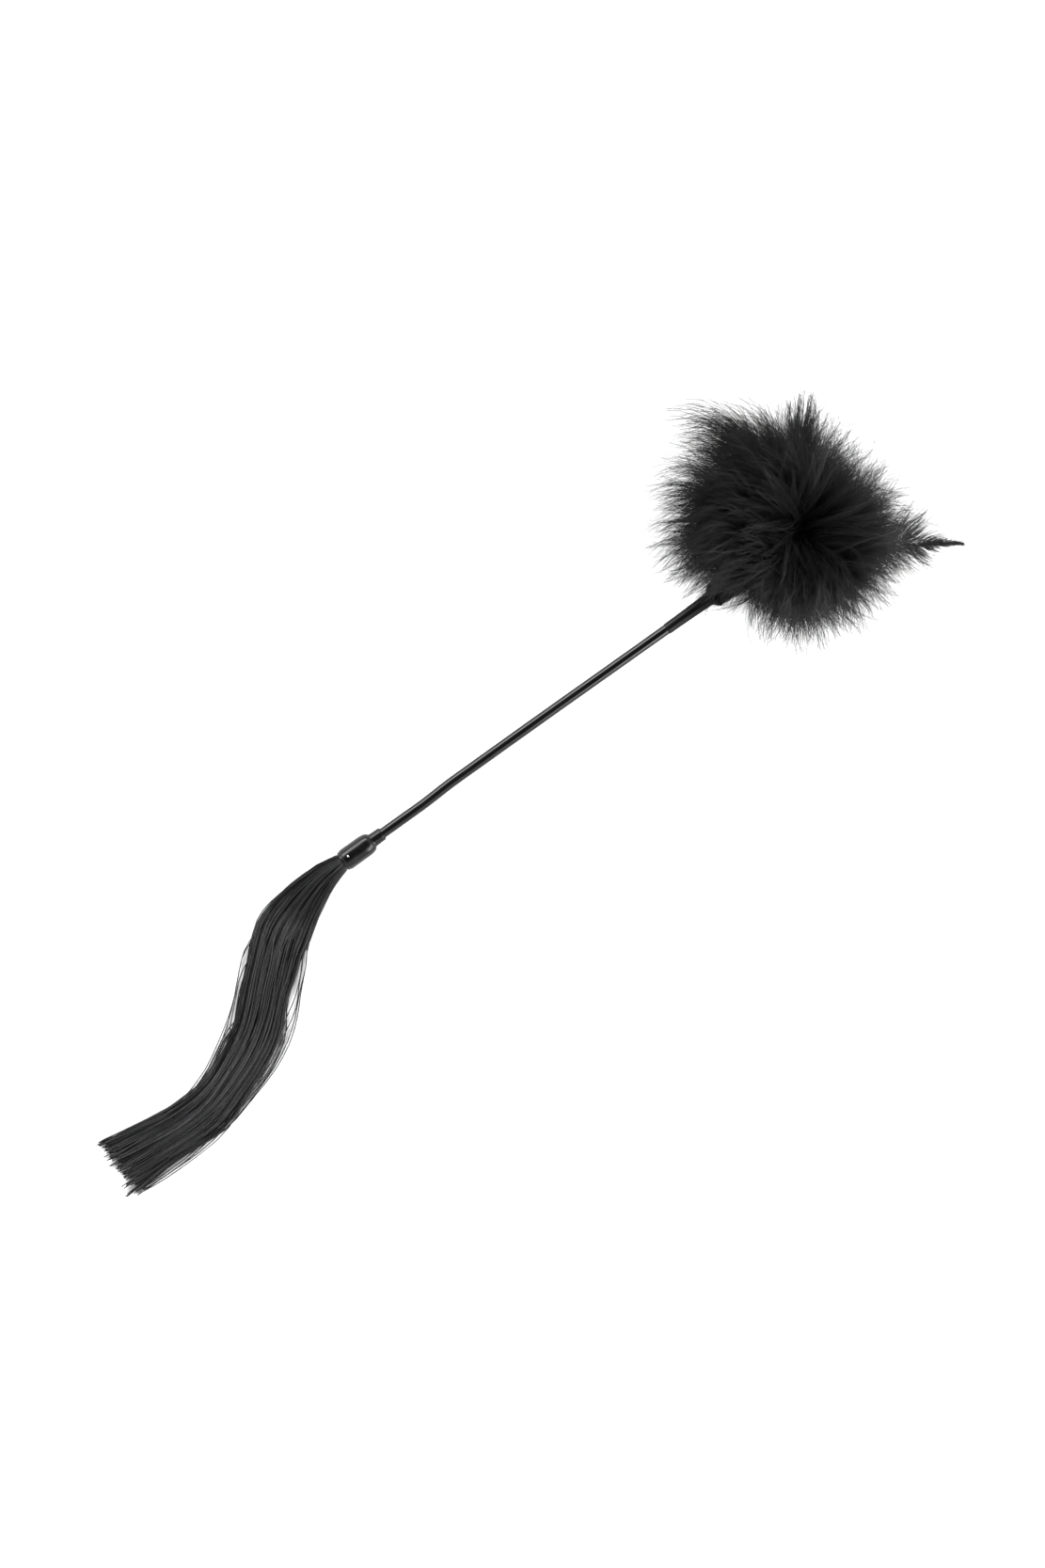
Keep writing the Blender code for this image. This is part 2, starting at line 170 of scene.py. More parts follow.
def makeRodAbs():
    # extruded ABS rod: gloss black, drawn lines along it and a few scuffs that soften the shine
    made, tree, shader = newMaterial("extrudedAbsRod", IOR=1.45, Specular_IOR_Level=0.38)
    place = objectPlace(tree)
    drawn = addNode(tree, "ShaderNodeMapping", {"Scale": (8, 1600, 1600)}, {"Vector": place})
    lines = addNoise(tree, drawn.outputs["Vector"], 1.0, 3.0)
    scuffs = addNoise(tree, place, 60.0, 4.0)
    tone = addRamp(tree, scuffs, (0, "#020202"), (1, "#080808"))
    tree.links.new(tone, shader.inputs["Base Color"])
    tree.links.new(addRange(tree, scuffs, 0.12, 0.24, 0.3, 0.7), shader.inputs["Roughness"])
    addBump(tree, shader, lines, 0.12, 0.02 * mm)
    return made


def makeFerruleAbs():
    # injection-moulded ABS: gloss black with a faint orange-peel skin
    made, tree, shader = newMaterial("mouldedAbsFerrule", IOR=1.40, Specular_IOR_Level=0.36)
    place = objectPlace(tree)
    peel = addNoise(tree, place, 900.0, 2.0)
    haze = addNoise(tree, place, 220.0, 5.0)
    tone = addRamp(tree, haze, (0, "#030304"), (1, "#0a0a0b"))
    tree.links.new(tone, shader.inputs["Base Color"])
    tree.links.new(addRange(tree, haze, 0.16, 0.3, 0.35, 0.7), shader.inputs["Roughness"])
    addBump(tree, shader, peel, 0.15, 0.03 * mm)
    return made


def makeStrandRubber():
    # extruded rubber string: satin charcoal with pale bloom and tiny pits; each strand's own value scales
    # its colour and shine, painted light and shade that differ from strand to strand
    made, tree, shader = newMaterial("extrudedRubberStrand", IOR=1.45)
    place = objectPlace(tree)
    bloom = addNoise(tree, place, 350.0, 4.0)
    tone = addRamp(tree, bloom, (0.3, "#0a0a0b"), (0.75, "#161616"))
    # each strand's own value paints it lighter or darker, as painted light and shade between strands, and
    # sets its shine
    own = attribute(tree, "strandBloomAndShade")
    links = {0: tone, "Scale": addRange(tree, own, 0.15, 1.9)}
    coat = addNode(tree, "ShaderNodeVectorMath", links=links, operation='SCALE')
    tree.links.new(coat.outputs["Vector"], shader.inputs["Base Color"])
    tree.links.new(addRange(tree, own, 0.08, 0.66), shader.inputs["Specular IOR Level"])
    tree.links.new(addRange(tree, bloom, 0.22, 0.40), shader.inputs["Roughness"])
    pits = addNoise(tree, place, 4000.0, 2.0)
    addBump(tree, shader, pits, 0.2, 0.02 * mm)
    return made


def makeSleevePolyolefin():
    # heat-shrunk polyolefin: dull black, drawn tight in fine wrinkles, with more shine at its start
    made, tree, shader = newMaterial("shrunkPolyolefinSleeve", IOR=1.32)
    place = objectPlace(tree)
    pulled = addNode(tree, "ShaderNodeMapping", {"Scale": (120, 700, 700)}, {"Vector": place})
    wrinkle = addNoise(tree, pulled.outputs["Vector"], 1.0, 4.0)
    tone = addRamp(tree, wrinkle, (0, "#020202"), (1, "#060606"))
    tree.links.new(tone, shader.inputs["Base Color"])
    along = addNode(tree, "ShaderNodeSeparateXYZ", links={"Vector": place}).outputs["X"]
    shine = addRange(tree, along, 0.36, 0.07, sleeveLow.x, sleeveLow.x + 27 * mm)
    tree.links.new(shine, shader.inputs["Specular IOR Level"])
    tree.links.new(addRange(tree, wrinkle, 0.26, 0.42), shader.inputs["Roughness"])
    addBump(tree, shader, wrinkle, 0.5, 0.12 * mm)
    return made


def makeMarabouDown():
    # dyed marabou down, charcoal where the barbs thin out; painted shade makes it black at the roots and in
    # the whorl, and darker on one side
    made, tree, shader = newMaterial("dyedMarabouDownPaintedShade", Roughness=0.72, IOR=1.45, Specular_IOR_Level=0.16)
    # painted shade: the barbs darken towards their roots, and the painted shade factor darkens the whorl and
    # one side
    toneAndRootShade = addRamp(tree, attribute(tree, "alongBarb"), (0.05, "#060606"), (0.80, "#2b2b2b"))
    barb = attribute(tree, "barbTone")
    depth = attribute(tree, "paintedShadeFactor")
    mottle = addNoise(tree, objectPlace(tree), 60.0, 2.0)
    both = addNode(tree, "ShaderNodeMath", {1: 0.6}, {0: barb, 2: mottle}, operation='MULTIPLY_ADD')
    lift = addRange(tree, both.outputs["Value"], 0.45, 1.7, 0.45, 1.15)
    liftAndPaintedShade = addNode(tree, "ShaderNodeMath", links={0: lift, 1: depth}, operation='MULTIPLY')
    links = {0: toneAndRootShade, "Scale": liftAndPaintedShade.outputs["Value"]}
    tone = addNode(tree, "ShaderNodeVectorMath", links=links, operation='SCALE')
    tree.links.new(tone.outputs["Vector"], shader.inputs["Base Color"])
    return made


def makeBradSteel():
    # nickel-plated steel brad with fine scratches
    made, tree, shader = newMaterial("platedSteelBrad", Metallic=1.0)
    scratch = addNoise(tree, objectPlace(tree), 3000.0, 4.0)
    tree.links.new(addRange(tree, scratch, 0.18, 0.4), shader.inputs["Roughness"])
    tone = addRamp(tree, scratch, (0, "#a7a5a0"), (1, "#dddbd6"))
    tree.links.new(tone, shader.inputs["Base Color"])
    return made


def makeBindingThread():
    # waxed polyester thread: near black in broad soft bands, wider than the turns themselves
    made, tree, shader = newMaterial("woundPolyesterThread", Roughness=0.7)
    values = {"Scale": 10.0, "Distortion": 1.2}
    turns = addNode(tree, "ShaderNodeTexWave", values, {"Vector": objectPlace(tree)}, bands_direction='X')
    tone = addRamp(tree, turns.outputs["Fac"], (0, "#0b0b0b"), (1, "#222223"))
    tree.links.new(tone, shader.inputs["Base Color"])
    addBump(tree, shader, turns.outputs["Fac"], 0.6, 0.1 * mm)
    return made


def makeSetEpoxy():
    # cast epoxy, amber-grey with small bubbles
    made, tree, shader = newMaterial("castEpoxy", Roughness=0.3, IOR=1.55)
    bubbles = addNode(tree, "ShaderNodeTexVoronoi", {"Scale": 1500.0}, {"Vector": objectPlace(tree)})
    tone = addRamp(tree, bubbles.outputs["Distance"], (0, "#6a6454"), (1, "#3c382f"))
    tree.links.new(tone, shader.inputs["Base Color"])
    return made


rodAbs = makeRodAbs()
ferruleAbs = makeFerruleAbs()
strandRubber = makeStrandRubber()
sleevePolyolefin = makeSleevePolyolefin()
marabouDown = makeMarabouDown()
bradSteel = makeBradSteel()
bindingThread = makeBindingThread()
setEpoxy = makeSetEpoxy()
print("materials made")


tassel = {
    "strandDiameter": 0.60 * mm,
    "pitch": 0.645 * mm,
    "locks": 28,
    "strandsInLock": 7,
    "layers": 4,
    "rootDepth": 10.5 * mm,
    "steps": 34,
    # middle line on the table, from the mouth: x, y and the tassel's width there, in metres
    "route": (
        (0.000, 0.000, 0.0118),
        (-0.013, -0.0006, 0.0158),
        (-0.026, -0.0034, 0.0222),
        (-0.038, -0.0073, 0.0276),
        (-0.048, -0.0117, 0.0316),
        (-0.0560, -0.0170, 0.0340),
        (-0.0642, -0.0238, 0.0358),
        (-0.0736, -0.0323, 0.0364),
        (-0.0833, -0.0416, 0.0368),
        (-0.0940, -0.0500, 0.0362),
        (-0.1070, -0.0574, 0.0346),
        (-0.1240, -0.0643, 0.0310),
        (-0.1410, -0.0691, 0.0300),
        (-0.1580, -0.0701, 0.0306),
        (-0.1760, -0.0689, 0.0332),
        (-0.1920, -0.0676, 0.0360),
        (-0.2010, -0.0666, 0.0372),
        (-0.2110, -0.0655, 0.0385),
    ),
    "ends": 15.8,  # the place on the route where most strands end
    # where the tassel pulls in, inside its strays: side, middle, half length, how much it pulls in
    "pinches": (
        (-1, 6.6, 1.8, 0.17),
        (-1, 9.3, 2.4, 0.22),
        (-1, 14.4, 2.2, 0.20),
        (1, 7.0, 2.2, 0.15),
        (1, 10.2, 1.6, 0.15),
    ),
    # strays: side, how far out they lie of half the width, and from where to where on the route
    "strays": (
        (-1, 1.01, 4.6, 12.4),
        (-1, 0.93, 5.2, 8.4),
        (-1, 0.90, 8.3, 11.3),
        (-1, 1.06, 11.8, 17.5),
        (-1, 0.95, 12.6, 17.5),
        (1, 1.03, 5.0, 12.4),
        (1, 0.93, 6.3, 9.4),
        (1, 0.95, 8.9, 11.6),
    ),
    "bunches": 26,  # the loose ends lie in small bunches
    "twinGap": 0.034,  # strays lie in pairs: how far apart, of half the width
    "loosest": 1.1 * mm,
    "strayLoose": 0.42 * mm,
    "lift": 0.45 * mm,
    "layerHeight": 0.5 * mm,
    "longOnes": 0.09,  # share of strands that are cut a little long
}


def onRoute(position):
    # smooth curve through the route's points
    points = tassel["route"]
    last = len(points) - 1
    index = max(0, min(int(position), last - 1))
    part = position - index
    four = (points[max(index - 1, 0)], points[index], points[index + 1], points[min(index + 2, last)])
    value = []
    for a, b, c, d in zip(*four):
        value.append(0.5 * (2 * b + (c - a) * part + (2 * a - 5 * b + 4 * c - d) * part ** 2
                            + (3 * b - 3 * c + d - a) * part ** 3))
    return value


def strandPlaces():
    # places in the cup, packed close, then split in layers and ordered across, so no two change places
    count = tassel["locks"] * tassel["strandsInLock"]
    packed = []
    for row in range(-9, 10):
        for column in range(-10, 11):
            y = (column + 0.5 * (row % 2)) * tassel["pitch"]
            z = row * tassel["pitch"] * math.sqrt(3) / 2
            packed.append((y, z))
    packed.sort(key=lambda place: (round(math.hypot(*place), 7), place[1], place[0]))
    roots = sorted(packed[:count], key=lambda place: (place[1], place[0]))
    perLayer = count // tassel["layers"]
    places = []
    for layer in range(tassel["layers"]):
        members = sorted(roots[layer * perLayer:(layer + 1) * perLayer])
        for order, root in enumerate(members):
            share = 2 * (order + 0.3 + 0.13 * layer) / perLayer - 1
            places.append({"root": root, "layer": layer, "share": share, "stray": None})
    outermost = sorted(places, key=lambda place: place["share"])
    for number, (side, outside, leaves, joins) in enumerate(tassel["strays"]):
        for twin in (0, 1):  # strays lie in pairs, the second just inside the first
            index = 2 * number + twin
            place = outermost[index] if side < 0 else outermost[-1 - index]
            reach = side * (outside - tassel["twinGap"] * twin)
            place["stray"] = (reach, leaves + 0.35 * twin, joins - 0.5 * twin)
    return places


def pinchAt(share, side, position):
    # share of the half width a strand lies at, once its side of the tassel has pulled in
    pulled = 0.0
    for pinchSide, middle, half, depth in tassel["pinches"]:
        if pinchSide == side:
            pulled += depth * math.exp(-((position - middle) / half) ** 4)
    return share * (1 - pulled * ease(abs(share) * 1.25))


def bunchOf(place):
    # which bunch of loose ends a strand falls in, and where that bunch lies across
    rng = random.Random(round(place["share"] * tassel["bunches"] / 2) * 7 + place["layer"] // 2)
    nearest = round(place["share"] * tassel["bunches"] / 2)
    middle = (nearest + rng.uniform(-0.3, 0.3)) * 2 / tassel["bunches"]
    return middle, rng.uniform(-0.020, 0.014)


def strandPath(place, rng):
    y, z = place["root"]
    points = [handleFrame @ Vector((tassel["rootDepth"], y, z)), handleFrame @ Vector((0, y, z))]
    flight = points[1].z
    last = tassel["ends"]
    bunch, shorter = bunchOf(place)
    finish = last * (1.005 + 0.019 * place["share"] + shorter + rng.uniform(-0.014, 0.010))
    if rng.random() < tassel["longOnes"]:
        finish = last * rng.uniform(1.015, 1.04)
    phase = [rng.uniform(0, 6.28) for _ in range(4)]
    loose = rng.uniform(0.2, 1.0) ** 2 * tassel["loosest"]
    lift = rng.uniform(0.0, tassel["lift"])
    if place["stray"] is not None:
        loose = tassel["strayLoose"]
    places = [0.16] + [finish * step / tassel["steps"] for step in range(1, tassel["steps"] + 1)]
    for position in places:
        x, across, width = onRoute(position)
        ahead = onRoute(position + 0.01)
        behind = onRoute(position - 0.01)
        along = Vector((ahead[0] - behind[0], ahead[1] - behind[1], 0)).normalized()
        side = Vector((along.y, -along.x, 0))
        spread = ease((position + 0.55) / 1.5)
        settle = ease((position - 0.4) / 3.4)
        slow = math.sin(0.8 * position + phase[0])
        quick = math.sin(1.9 * position + phase[1])
        wander = loose * spread * (slow + 0.5 * quick)
        share = pinchAt(place["share"], math.copysign(1, place["share"]), position)
        if place["stray"] is not None:
            outside, leaves, joins = place["stray"]
            out = ease((position - leaves + 0.9) / 1.8) * ease((joins + 0.9 - position) / 1.8)
            share = (1 - out) * share + out * outside
        gather = 0.5 * ease((position - last + 2.2) / 2.0)
        reach = ((1 - gather) * share + gather * bunch) * (width - tassel["strandDiameter"]) / 2
        offset = (1 - spread) * y + spread * reach + wander
        crown = 0.35 + 0.65 * math.sqrt(max(0.0, 1 - place["share"] ** 2))
        rest = tassel["strandDiameter"] * 0.55 + place["layer"] * tassel["layerHeight"] * crown
        rest += lift * (0.5 + 0.5 * math.sin(1.1 * position + phase[2]))
        height = (1 - settle) * flight + settle * rest
        points.append(Vector((mouth.x + x, mouth.y + across, 0)) + side * offset + Vector((0, 0, height)))
    return points


def tubeThrough(name, paths, diameter):
    bpy.ops.object.select_all(action='DESELECT')
    bpy.ops.curve.primitive_bezier_curve_add(location=(0, 0, 0))
    piece = bpy.context.object
    piece.name = name
    curve = piece.data
    curve.splines.clear()
    curve.dimensions = '3D'
    curve.bevel_depth = diameter / 2
    curve.bevel_resolution = 1
    curve.use_fill_caps = True
    for path in paths:
        spline = curve.splines.new('POLY')
        spline.points.add(len(path) - 1)
        for target, point in zip(spline.points, path):
            target.co = (*point, 1)
    selectOnly(piece)
    bpy.ops.object.convert(target='MESH')
    piece = bpy.context.object
    bpy.ops.object.shade_smooth()
    return piece


def addBloomAndShade(piece, bloomsAndShades):
    # each strand's own share of bloom and of painted light and shade, along its whole length
    vertices = len(piece.data.vertices)
    eachStrand = vertices // len(bloomsAndShades)
    values = [bloomsAndShades[min(index // eachStrand, len(bloomsAndShades) - 1)] for index in range(vertices)]
    layer = piece.data.attributes.new("strandBloomAndShade", 'FLOAT', 'POINT')
    layer.data.foreach_set("value", values)


def bloomAndShadeOf(place, rng):
    # strands that lie together get alike bloom and painted light and shade
    together = math.sin(49 * place["share"] + 1.7 * place["layer"]) + 0.6 * math.sin(21 * place["share"] + 2)
    return max(0.0, min(1.0, 0.42 + 0.24 * together + rng.gauss(0, 0.17)))


def addTassel():
    rng = random.Random(7)
    bloomAndShadeRng = random.Random(11)
    places = strandPlaces()
    locks = [[] for _ in range(tassel["locks"])]
    order = sorted(places, key=lambda place: (place["share"], place["layer"]))
    for number, place in enumerate(order):
        locks[number // tassel["strandsInLock"]].append(place)
    for number, members in enumerate(locks, start=1):
        paths = [strandPath(place, rng) for place in members]
        lengths = [sum((b - a).length for a, b in zip(path, path[1:])) for path in paths]
        longest = lengths.index(max(lengths))
        lead = tubeThrough(f"strand_lead_{number:02d}", [paths[longest]], tassel["strandDiameter"])
        bloomsAndShades = [bloomAndShadeOf(place, bloomAndShadeRng) for place in members]
        addBloomAndShade(lead, [bloomsAndShades.pop(longest)])
        finishPiece(lead, strandRubber)
        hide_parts(f"tassel_lock_{number:02d}")
        others = [path for index, path in enumerate(paths) if index != longest]
        lock = tubeThrough(f"strand_lock_{number:02d}", others, tassel["strandDiameter"])
        addBloomAndShade(lock, bloomsAndShades)
        finishPiece(lock, strandRubber)


addTassel()
print("tassel strands laid")


def turnedPiece(name, stations, sides, closed):
    # a circle pulled along the rod's axis through (distance, radius) stations, in mm
    bpy.ops.object.select_all(action='DESELECT')
    bpy.ops.mesh.primitive_circle_add(vertices=sides, radius=stations[0][1] * mm, location=(0, 0, 0))
    piece = bpy.context.object
    piece.name = name
    bpy.ops.object.mode_set(mode='EDIT')
    bpy.ops.mesh.select_mode(type='EDGE')
    bpy.ops.mesh.select_all(action='SELECT')
    bpy.ops.transform.translate(value=(0, 0, stations[0][0] * mm))
    for before, after in zip(stations, stations[1:]):
        step = (after[0] - before[0]) * mm
        bpy.ops.mesh.extrude_region_move(TRANSFORM_OT_translate={"value": (0, 0, step)})
        grow = after[1] / before[1]
        bpy.ops.transform.resize(value=(grow, grow, 1))
    bpy.ops.mesh.select_all(action='DESELECT')
    bpy.ops.mesh.select_non_manifold()
    if closed:
        bpy.ops.mesh.bridge_edge_loops()
    else:
        bpy.ops.mesh.edge_face_add()
    bpy.ops.mesh.select_all(action='SELECT')
    bpy.ops.mesh.normals_make_consistent(inside=False)
    bpy.ops.object.mode_set(mode='OBJECT')
    return piece


def rodBow(along):
    # the rod has a slight set to one side, as its distance from the mouth says
    bowed = ease((along - 52 * mm) / (26 * mm))
    back = ease((along - 110 * mm) / (110 * mm))
    return 0.85 * mm * bowed * (1 - 0.45 * back)


def layOnHandle(piece):
    # the piece was made along +Z: turn it to the rod's direction and apply its place
    piece.matrix_world = handleFrame @ Matrix.Rotation(math.pi / 2, 4, 'Y')
    selectOnly(piece)
    bpy.ops.object.transform_apply(location=True, rotation=True, scale=True)
    for vertex in piece.data.vertices:
        vertex.co.y += rodBow(vertex.co.x - mouth.x)


def arcStations(distance, radius, bend, start, stop, steps):
    found = []
    for step in range(steps + 1):
        angle = math.radians(start + (stop - start) * step / steps)
        found.append((distance + bend * math.cos(angle), radius + bend * math.sin(angle)))
    return found


rod = {"sides": 64, "edge": 0.5, "stretches": 90, "bend": 0.05 * mm}


def addRod():
    first = alongHandle(rodBegin.x) / mm + 0.2
    last = handleLength / mm
    radius = rodRadius / mm
    stations = arcStations(first + rod["edge"], radius - rod["edge"], rod["edge"], 180, 90, 4)
    for step in range(1, rod["stretches"]):
        part = (last - first - 2 * rod["edge"]) * step / rod["stretches"]
        stations.append((first + rod["edge"] + part, radius))
    stations += arcStations(last - rod["edge"], radius - rod["edge"], rod["edge"], 90, 0, 4)
    piece = turnedPiece("gloss_rod", stations, rod["sides"], False)
    for vertex in piece.data.vertices:  # an extruded rod is never quite straight or quite round
        along = vertex.co.z / mm
        swell = 1 + 0.004 * math.sin(along * 0.21) + 0.003 * math.sin(along * 0.057 + 1)
        vertex.co.x = vertex.co.x * swell + rod["bend"] * math.sin(along * 0.045)
        vertex.co.y = vertex.co.y * swell + rod["bend"] * math.sin(along * 0.031 + 2)
    layOnHandle(piece)
    bpy.ops.object.shade_smooth_by_angle(angle=math.radians(35))
    finishPiece(piece, rodAbs)
    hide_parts("handle_rod")


ferrule = {
    "sides": 96,
    "bodyLength": 20.2, "lipRound": 0.9, "mouthRadius": 4.95, "cupDepth": 12.6,
    "neckRadius": 4.0, "neckLength": 7.2, "neckBore": 3.25, "waist": 0.25, "seam": 0.05, "domeLength": 6.0,
}


def addFerrule():
    radius = ferruleRadius / mm - 0.02
    body = ferrule["bodyLength"]
    lip = ferrule["lipRound"]
    neckEnd = body + ferrule["neckLength"]
    stations = [(ferrule["cupDepth"], ferrule["neckBore"]), (ferrule["cupDepth"], ferrule["mouthRadius"])]
    stations += [(0.6, ferrule["mouthRadius"]), (0.15, ferrule["mouthRadius"] + 0.25)]
    stations += arcStations(lip, radius - 0.4 - lip, lip, 180, 90, 6)
    stations += [(lip + 0.6, radius - 0.38), (lip + 1.1, radius - 0.08), (lip + 1.7, radius)]
    stations += [(6, radius), (10, radius), (13, radius)]
    dome = ferrule["domeLength"]
    for step in range(1, 15):  # a bottle shoulder, longer than it is high
        turn = math.radians(82 * step / 14)
        drop = (radius - ferrule["neckRadius"] - 0.25) * (1 - math.cos(turn))
        stations.append((body - dome + dome * math.sin(turn), radius - drop))
    stations += [(body + 0.1, ferrule["neckRadius"] + 0.3), (body + 0.5, ferrule["neckRadius"] + 0.05)]
    stations.append((body + 1.1, ferrule["neckRadius"]))
    stations.append((neckEnd - 2.0, ferrule["neckRadius"] - ferrule["waist"] * 0.4))
    stations += arcStations(neckEnd - 0.5, ferrule["neckRadius"] - 0.6, 0.5, 90, 0, 5)
    stations += [(neckEnd, ferrule["neckBore"] + 0.02), (neckEnd - 0.3, ferrule["neckBore"])]
    piece = turnedPiece("moulded_ferrule", stations, ferrule["sides"], True)
    for vertex in piece.data.vertices:  # a fine parting line on both sides of the mould
        around = math.atan2(vertex.co.y, vertex.co.x)
        outside = math.hypot(vertex.co.x, vertex.co.y) > (ferrule["neckRadius"] - 0.4) * mm
        if outside and abs(math.sin(around)) < 0.02 and vertex.co.z > 0.5 * mm:
            vertex.co.x *= 1 + ferrule["seam"] / radius
    layOnHandle(piece)
    bpy.ops.object.shade_smooth_by_angle(angle=math.radians(35))
    finishPiece(piece, ferruleAbs)
    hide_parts("tassel_ferrule")


addRod()
addFerrule()
print("rod and ferrule turned")


brad = {"headRadius": 0.60, "headHeight": 0.28, "shankRadius": 0.40, "dimple": 0.05}


def addBrad():
    low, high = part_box("ferrule_pin")
    middle = (low + high) / 2
    local = handleFrame.inverted() @ middle
    outward = Vector((0, local.y, local.z)).normalized()
    base = ferruleRadius / mm - 0.25
    stations = [(base - 1.1, brad["shankRadius"]), (base - 0.1, brad["shankRadius"])]
    stations += [(base, brad["headRadius"] * 0.92), (base + 0.12, brad["headRadius"])]
    for step in range(1, 7):
        turn = math.radians(15 * step - 4)
        rise = base + 0.12 + brad["headHeight"] * math.sin(turn)
        stations.append((rise, brad["headRadius"] * math.cos(turn)))
    stations.append((base + 0.12 + brad["headHeight"] - brad["dimple"], brad["headRadius"] * 0.04))
    piece = turnedPiece("steel_brad", stations, 32, False)
    turn = Vector((0, 0, 1)).rotation_difference(outward).to_matrix().to_4x4()
    piece.matrix_world = handleFrame @ Matrix.Translation((local.x, 0, 0)) @ turn
    selectOnly(piece)
    bpy.ops.object.transform_apply(location=True, rotation=True, scale=True)
    bpy.ops.object.shade_smooth_by_angle(angle=math.radians(50))
    finishPiece(piece, bradSteel)
    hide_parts("ferrule_pin")


addBrad()
print("brad set")


sleeve = {
    "sides": 96, "tailRadius": 3.30, "tailEndRadius": 3.75, "hoodRadius": 6.75,
    "bore": 3.12, "hoodBore": 6.2,
    "hoodLength": 19.8, "step": 2.4, "folds": 9,
}


def addSleeve():
    first = alongHandle(sleeveLow.x) / mm + 0.4
    last = alongHandle(sleeveHigh.x) / mm - 0.4
    hood = last - sleeve["hoodLength"]
    stations = [(hood + 2.0, sleeve["bore"]), (first + 0.2, sleeve["bore"])]
    stations += [(first, sleeve["bore"] + 0.06), (first + 0.1, sleeve["tailRadius"] - 0.1)]
    tailSteps = 26
    for step in range(tailSteps + 1):
        part = step / tailSteps
        radius = sleeve["tailRadius"] + (sleeve["tailEndRadius"] - sleeve["tailRadius"]) * part ** 1.5
        stations.append((first + 0.4 + (hood - sleeve["step"] - first - 0.4) * part, radius))
    for step in range(1, 9):  # shrunk over the step, in a soft S
        part = step / 8
        radius = sleeve["tailEndRadius"] + (sleeve["hoodRadius"] - sleeve["tailEndRadius"]) * ease(part)
        stations.append((hood - sleeve["step"] + (sleeve["step"] + 2.2) * part, radius))
    for step in range(1, 13):
        part = step / 12
        radius = sleeve["hoodRadius"] * (1 + 0.02 * math.sin(math.pi * part))
        stations.append((hood + 2.2 + (last - hood - 2.4) * part, radius))
    stations += [(last, sleeve["hoodRadius"] - 0.15), (last, sleeve["hoodBore"] + 0.1)]
    stations += [(last - 0.2, sleeve["hoodBore"]), (hood + 2.0, sleeve["hoodBore"])]
    piece = turnedPiece("shrunk_sleeve", stations, sleeve["sides"], True)
    for vertex in piece.data.vertices:  # the quills show through as ridges, and the step is lumpy
        along = vertex.co.z / mm
        around = math.atan2(vertex.co.y, vertex.co.x)
        radius = math.hypot(vertex.co.x, vertex.co.y)
        if radius < (sleeve["bore"] + 0.2) * mm or abs(radius - sleeve["hoodBore"] * mm) < 0.15 * mm:
            continue
        onHood = ease((along - hood + 2.5) / 4)
        ridges = 0.035 * math.sin(sleeve["folds"] * around + 0.25 * along) * onHood
        lumps = 0.085 * math.sin(3 * around + 0.5 * along) * math.sin(0.42 * (along - hood) + 1.2)
        lumps *= onHood
        wrinkle = 0.010 * math.sin(11 * around + 1.7 * along) * (1 - onHood)
        wrinkle *= ease((along - first - 24) / 12)
        swell = 1 + ridges + lumps + wrinkle
        vertex.co.x *= swell
        vertex.co.y *= swell
    layOnHandle(piece)
    bpy.ops.object.shade_smooth_by_angle(angle=math.radians(50))
    finishPiece(piece, sleevePolyolefin)
    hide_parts("binding_sleeve")


addSleeve()
print("sleeve shrunk on")


# the winding and the plug keep the frame's own shape
for node, material in (("quill_binding_thread", bindingThread), ("root_adhesive_plug", setEpoxy)):
    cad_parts[node].data.materials.clear()
    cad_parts[node].data.materials.append(material)


hoodEnd = alongHandle(sleeveHigh.x)

puff = {
    "centre": (308 * mm, 6 * mm, 34 * mm),  # from the ferrule's mouth, and height over the table
    "radius": 57 * mm,  # how far the down still hides what is behind it
    "height": 54 * mm,
    "parting": (9 * mm, -11 * mm, 48 * mm),  # the whorl on top, from the centre
    "partingWidth": 46,  # degrees
    "clumps": 6600,
    "barbsInClump": 6,
    "clumpsInPlume": 800,
    "points": 7,
    "denseTo": 0.85,  # of the radius, and past it ever fewer barbs
    "thinning": 0.175,
    "longest": 0.50,
    "quillRadius": 4.2 * mm,
    "shaftReach": 0.52,  # of the radius
    "shaftThickness": 0.60 * mm,
    "rootThickness": 0.16 * mm,
    "middleThickness": 0.30 * mm,
    "tipThickness": 0.11 * mm,
    "floorSoftness": 10 * mm,
    "top": 101 * mm,
    "side": 92 * mm,
    "coreDepth": 34 * mm,  # the painted shade is blackest this far up the whorl, and fades out over coreReach
    "coreReach": 47 * mm,
    "coreFade": 3.4,
    # painted shade on one side of the puff: its heading in degrees, and how much darker it makes that side
    "paintedShadeHeading": 118,
    "paintedShadeStrength": 0.46,
    "sweep": 0.20,
    "stray": 0.22,
}
spear = {
    "clumps": 520, "barbsInClump": 3, "barb": 34 * mm, "tipBarb": 9 * mm, "bareFrom": 0.72,
    "thickness": 1.0 * mm, "leaves": 12 * mm, "rises": 2 * mm,
    "middle": (357 * mm, -33.4 * mm, 30 * mm),  # from the ferrule's mouth, and height over the table
    "tip": (381 * mm, -56.5 * mm, 26 * mm),
}
tuft = {"heading": 48, "clumps": 110, "barbsInClump": 4, "spread": 0.13, "reach": 84 * mm}

# the outline seen from above: heading round the puff in degrees, width, how much further its down reaches
outline = (
    (97, 13, 0.10),
    (149, 23, 0.13),
    (203, 13, -0.27),
    (-42, 13, 0.08),
    (10, 25, -0.03),
    (225, 25, -0.05),
)
# and its longest wisps: heading, width, extra length, and how they are swept round
wisps = (
    (99, 15, 0.60, 0.75),
    (124, 12, 0.24, 0.55),
    (152, 16, 0.16, 0.35),
    (72, 12, 0.16, 0.45),
    (-40, 15, 0.20, 0.0),
    (-75, 25, 0.10, -0.3),
    (30, 14, 0.08, -0.2),
)

